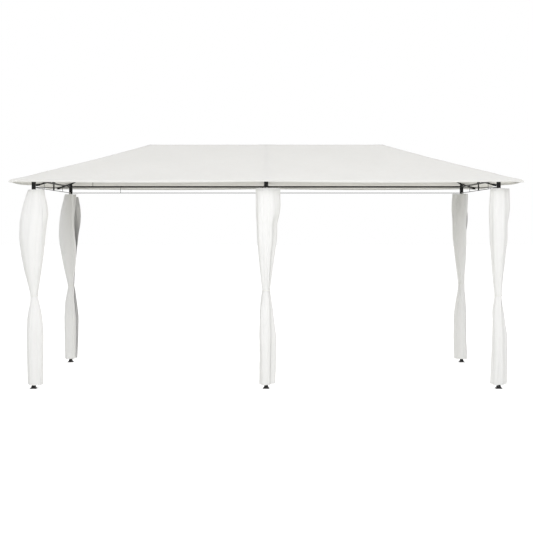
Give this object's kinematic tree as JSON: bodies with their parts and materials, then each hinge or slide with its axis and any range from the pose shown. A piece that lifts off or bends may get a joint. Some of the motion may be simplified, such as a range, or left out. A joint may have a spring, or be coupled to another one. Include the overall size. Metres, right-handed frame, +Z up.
{
  "type": "garden gazebo",
  "caption": "Rectangular garden gazebo: black steel frame on slim posts, hipped white cloth canopy with a narrow hem, and white curtains gathered and tied round the posts.",
  "frame": {"origin": "on the ground, under the middle of the canopy", "axes": "+X along the ridge and the long sides, -Y the front long side, +Z up"},
  "size_m": [6, 2.98, 2.988],
  "materials": {
    "frame_steel": "satin black powder coat",
    "foot_plastic": "matt black moulded",
    "canopy_cloth": "coated white polyester cloth",
    "curtain_cloth": "light white polyester cloth",
    "tie_cloth": "white cloth band"
  },
  "bodies": {
    "root": {"post_front_left": "frame_steel", "post_front_middle": "frame_steel", "post_front_right": "frame_steel", "post_back_left": "frame_steel", "post_back_middle": "frame_steel", "post_back_right": "frame_steel", "foot_front_left": "foot_plastic", "foot_front_middle": "foot_plastic", "foot_front_right": "foot_plastic", "foot_back_left": "foot_plastic", "foot_back_middle": "foot_plastic", "foot_back_right": "foot_plastic", "eave_rail_front_left": "frame_steel", "eave_rail_front_right": "frame_steel", "eave_rail_back_left": "frame_steel", "eave_rail_back_right": "frame_steel", "eave_rail_left_end": "frame_steel", "eave_rail_right_end": "frame_steel", "hip_rafter_front_left": "frame_steel", "hip_rafter_front_right": "frame_steel", "hip_rafter_back_left": "frame_steel", "hip_rafter_back_right": "frame_steel", "end_rafter_left": "frame_steel", "end_rafter_right": "frame_steel", "side_rafter_front": "frame_steel", "side_rafter_back": "frame_steel", "ridge_tube_left": "frame_steel", "ridge_tube_right": "frame_steel", "ridge_hub_left": "frame_steel", "ridge_hub_middle": "frame_steel", "ridge_hub_right": "frame_steel", "canopy": "canopy_cloth", "curtain_front_left": "curtain_cloth", "curtain_front_middle": "curtain_cloth", "curtain_front_right": "curtain_cloth", "curtain_back_left": "curtain_cloth", "curtain_back_middle": "curtain_cloth", "curtain_back_right": "curtain_cloth", "tie_front_left": "tie_cloth", "tie_front_middle": "tie_cloth", "tie_front_right": "tie_cloth", "tie_back_left": "tie_cloth", "tie_back_middle": "tie_cloth", "tie_back_right": "tie_cloth"}
  },
  "joints": []
}
